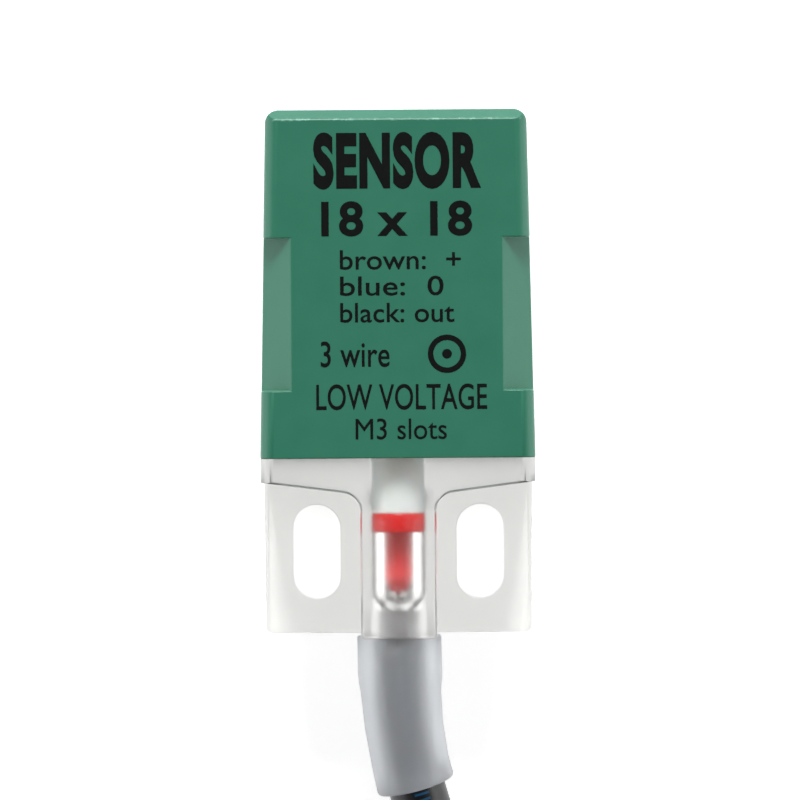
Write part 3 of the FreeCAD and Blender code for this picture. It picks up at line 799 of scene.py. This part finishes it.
def along(path, distance):
    """The point at a distance along a line of points, and the way it runs there."""
    gone = 0.0
    for here, after in zip(path, path[1:]):
        run = (after - here).length
        if gone + run >= distance and run > 0:
            return here.lerp(after, (distance - gone) / run), (after - here).normalized()
        gone += run
    return path[-1].copy(), (path[-1] - path[-2]).normalized()


def across(way):
    """Two directions square to the way a cord runs: sideways, and as far up as it can be."""
    side = way.cross(Vector((0, 0, 1))).normalized()
    return side, side.cross(way).normalized()


def spot_round(middle, way, angle, radius):
    """The point at an angle round a cord, from its right side upwards."""
    side, up = across(way)
    return middle + (side * math.cos(angle) + up * math.sin(angle)) * radius


# Distance from the end cap and outer radius, in millimetres
SLEEVE_OUTSIDE = [
    (0, 2.70),
    (0.12, 2.80),
    (2.4, 2.82),
    (3.1, 2.78),
    (3.7, 2.69),
    (6.0, 2.62),
    (8.6, 2.58),
    (9.4, 2.60),
    (9.95, 2.62),
    (10.1, 2.55),
]
SLEEVE_BORE = 1.93
SPIGOT_R = 2.15


def make_sleeve(path):
    """The frosted sleeve: a tube along the cable, wider at the cap, with a spigot glued into it."""
    shape = bmesh.new()
    back = entry_low.y / MM - SOCKET_Y
    rings = [(back, SLEEVE_BORE), (back, SPIGOT_R), (-0.02, SPIGOT_R)] + SLEEVE_OUTSIDE
    rings.append((SLEEVE_OUTSIDE[-1][0], SLEEVE_BORE))
    rings += [(d, SLEEVE_BORE) for d in (8, 6, 4, 2, 0)]
    made = []
    for distance, radius in rings:
        middle, way = along(path, max(distance, 0) * MM)
        middle += way * min(distance, 0) * MM
        made.append([shape.verts.new(spot_round(middle, way, a, radius * MM)) for a in circle(64)])
    for ring, after in zip(made, made[1:] + made[:1]):
        joined(shape, ring, after)
    piece = mesh_object("frosted_sleeve", as_mesh(shape, "frosted_sleeve"), frosted)
    return settle(piece, "frosted_pvc", "cable_sleeve")


MARKS_FROM, MARKS_TO = 1.0, 70  # millimetres from the end cap
MARK_HEIGHT = 0.008 * MM


def make_marks(path):
    """Blue inkjet marks along the cable's upper side, as a code that can't be read."""
    drops = random.Random(7)
    shape = bmesh.new()
    distance = MARKS_FROM
    while distance < MARKS_TO:
        wide = drops.choice((0.16, 0.2, 0.3, 0.5))
        first = drops.choice((82, 82, 88, 94))
        last = drops.choice((100, 106, 112, 112))
        if drops.random() < 0.8:
            rows = []
            turns = [math.radians(first + (last - first) * i / 4) for i in range(5)]
            for d in (distance, distance + wide):
                spots = [spot_round(*along(path, d * MM), a, CABLE_D / 2 + MARK_HEIGHT) for a in turns]
                rows.append([shape.verts.new(spot) for spot in spots])
            for i in range(4):
                shape.faces.new([rows[0][i], rows[1][i], rows[1][i + 1], rows[0][i + 1]])
        distance += wide + drops.choice((0.25, 0.3, 0.45, 0.9))
    piece = mesh_object("inkjet_marks", as_mesh(shape, "inkjet_marks", turn=False), inkjet)
    return settle(piece, "jacket_pvc")


def make_cable():
    """The jacketed cable from the cap through the hank to its free end, in one line."""
    points = CABLE_ROUTE + hank_points() + TAIL_ROUTE
    piece, path = cord("cable", points, CABLE_D, black_jacket)
    settle(piece, "jacket_pvc", "cable_run", "cable_coil", "cable_tail")
    return piece, path


def make_cores():
    """The three insulated cores outside the jacket's end, each with its tinned tip."""
    end = Vector(TAIL_ROUTE[-1])
    for colour, offsets in CORE_ROUTES.items():
        points = [end + Vector(offset) for offset in offsets]
        piece = cord("core_" + colour + "_cord", points, CORE_D, core_plastics[colour])[0]
        settle(piece, colour + "_pvc", "core_" + colour)


# The strap round the hank's right side, in millimetres
TIE_Y = -73.0
TIE_WIDTH = 3.0
TIE_THICKNESS = 0.6
BUCKLE = (4.6, 4.4, 2.6)
BUCKLE_EDGE = 0.5


def make_tie(path):
    """A nylon strap tight round the turns that it holds, flat underneath, its buckle on top."""
    middle = TIE_Y * MM
    held = []
    for here, after in zip(path, path[1:]):
        if (here.y - middle) * (after.y - middle) < 0 and here.x > HANK_X * MM:
            spot = here.lerp(after, (middle - here.y) / (after.y - here.y))
            held.append((spot.x, spot.z))
    shape = bmesh.new()
    rings = []
    for end, grown in ((-1, 0), (1, 0), (1, TIE_THICKNESS), (-1, TIE_THICKNESS)):
        reach, floor = CABLE_D / 2 + grown * MM, (TIE_THICKNESS - grown) * MM
        ring = []
        for angle in circle(96):
            outward = Vector((math.cos(angle), math.sin(angle)))
            x, z = Vector(max(held, key=lambda turn: outward.dot(turn))) + outward * reach
            ring.append(shape.verts.new((x, middle + end * TIE_WIDTH / 2 * MM, max(z, floor))))
        rings.append(ring)
    for ring, after in zip(rings, rings[1:] + rings[:1]):
        joined(shape, ring, after)
    top = max(z for x, z in held) + CABLE_D / 2
    high = [x for x, z in held if z > top - CABLE_D]
    place = Matrix.Translation((sum(high) / len(high), middle, top + BUCKLE[2] / 2 * MM))
    size = Matrix.Diagonal([side * MM for side in BUCKLE] + [1])
    made = bmesh.ops.create_cube(shape, size=1, matrix=place @ size)["verts"]
    edges = list({edge for vert in made for edge in vert.link_edges})
    bmesh.ops.bevel(
        shape, geom=edges, offset=BUCKLE_EDGE * MM, segments=3, affect="EDGES", profile=0.5
    )
    piece = mesh_object("nylon_tie", as_mesh(shape, "nylon_tie"), tie_nylon)
    piece.data.set_sharp_from_angle(angle=math.radians(40))
    return settle(piece, "tie_nylon", "coil_tie")


# ---------------------------------------------------------------- table, light and camera

# The stage, in metres and watts
TABLE_HALF = 2.0
TABLE_GAP = 0.02 * MM  # keeps the table's face clear of the underside
LIGHT_DISTANCE = 0.7
KEY_HEIGHT, SIDE_HEIGHT = math.radians(35), math.radians(20)
KEY_SIZE, KEY_POWER = 0.2, 6.0
SIDE_SIZE, SIDE_POWER = 0.4, 1.0
ROOM_GLOW, ROOM_LEAST = 1.6, 0.05  # what the room has low down beyond its least, which is overhead
LENS, SENSOR_WIDTH = 324, 36  # millimetres, as lenses are named
CAMERA_X, CAMERA_Y, CAMERA_DISTANCE = 0.16 * MM, -1.7 * MM, 470 * MM
CAMERA_TURN = math.radians(-0.4)


def make_table():
    """A wide plain table under the sensor and its cable."""
    mesh = bpy.data.meshes.new("table")
    corners = [(x * TABLE_HALF, y * TABLE_HALF, 0) for x, y in ((-1, -1), (1, -1), (1, 1), (-1, 1))]
    mesh.from_pydata(corners, [], [(0, 1, 2, 3)])
    piece = mesh_object("table", mesh, table_top())
    piece.location.z = -TABLE_GAP


def soft_light(name, place, target, size, power):
    """A square soft box that points at a spot."""
    light = bpy.data.lights.new(name, "AREA")
    light.shape = "SQUARE"
    light.size = size
    light.energy = power
    holder = bpy.data.objects.new(name, light)
    holder.location = place
    holder.rotation_euler = (Vector(target) - Vector(place)).to_track_quat("-Z", "Y").to_euler()
    bpy.context.scene.collection.objects.link(holder)


def make_lights():
    """A soft box beyond the sensing end, a weak one at each side, and a room that is pale low down."""
    middle = (0, 0, 9 * MM)
    out, up = LIGHT_DISTANCE * math.cos(KEY_HEIGHT), LIGHT_DISTANCE * math.sin(KEY_HEIGHT)
    soft_light("key", (0, out, up), middle, KEY_SIZE, KEY_POWER)
    out, up = LIGHT_DISTANCE * math.cos(SIDE_HEIGHT), LIGHT_DISTANCE * math.sin(SIDE_HEIGHT)
    for side in (-1, 1):
        soft_light("side", (side * out, -0.1, up), middle, SIDE_SIZE, SIDE_POWER)
    world = bpy.data.worlds.new("pale_room")
    world.use_nodes = True
    tree = world.node_tree
    height = add(tree, "SeparateXYZ", {0: add(tree, "TexCoord").outputs["Generated"]})
    depth = add(tree, "Math", {0: 1.0, 1: height.outputs[2]}, operation="SUBTRACT", use_clamp=True)
    glow = add(tree, "Math", {0: depth.outputs[0], 1: 2.0}, operation="POWER")
    level = add(
        tree, "Math", {0: glow.outputs[0], 1: ROOM_GLOW, 2: ROOM_LEAST}, operation="MULTIPLY_ADD"
    )
    backdrop = tree.nodes["Background"]
    backdrop.inputs["Color"].default_value = (1, 1, 1, 1)
    tree.links.new(level.outputs[0], backdrop.inputs["Strength"])
    bpy.context.scene.world = world


def make_camera():
    """Straight above the printed face, a long lens, turned by under half a degree."""
    lens = bpy.data.cameras.new("camera")
    lens.lens = LENS
    lens.sensor_width = SENSOR_WIDTH
    lens.clip_start = 0.01
    holder = bpy.data.objects.new("camera", lens)
    holder.location = (CAMERA_X, CAMERA_Y, FACE_Z + CAMERA_DISTANCE)
    holder.rotation_euler = (0, 0, CAMERA_TURN)
    bpy.context.scene.collection.objects.link(holder)
    bpy.context.scene.camera = holder


make_camera()
make_lights()
make_table()
make_case()
for line in PRINTED_LINES:
    printed_line(*line)
printed_ring(*SENSING_MARK)
make_cap()
make_lamp()
make_resin()
cable, cable_path = make_cable()
sleeve = make_sleeve(cable_path)
marks = make_marks(cable_path)
tie = make_tie(cable_path)
make_cores()

bpy.context.scene.view_settings.view_transform = "Standard"
bpy.context.scene.cycles.use_denoising = True
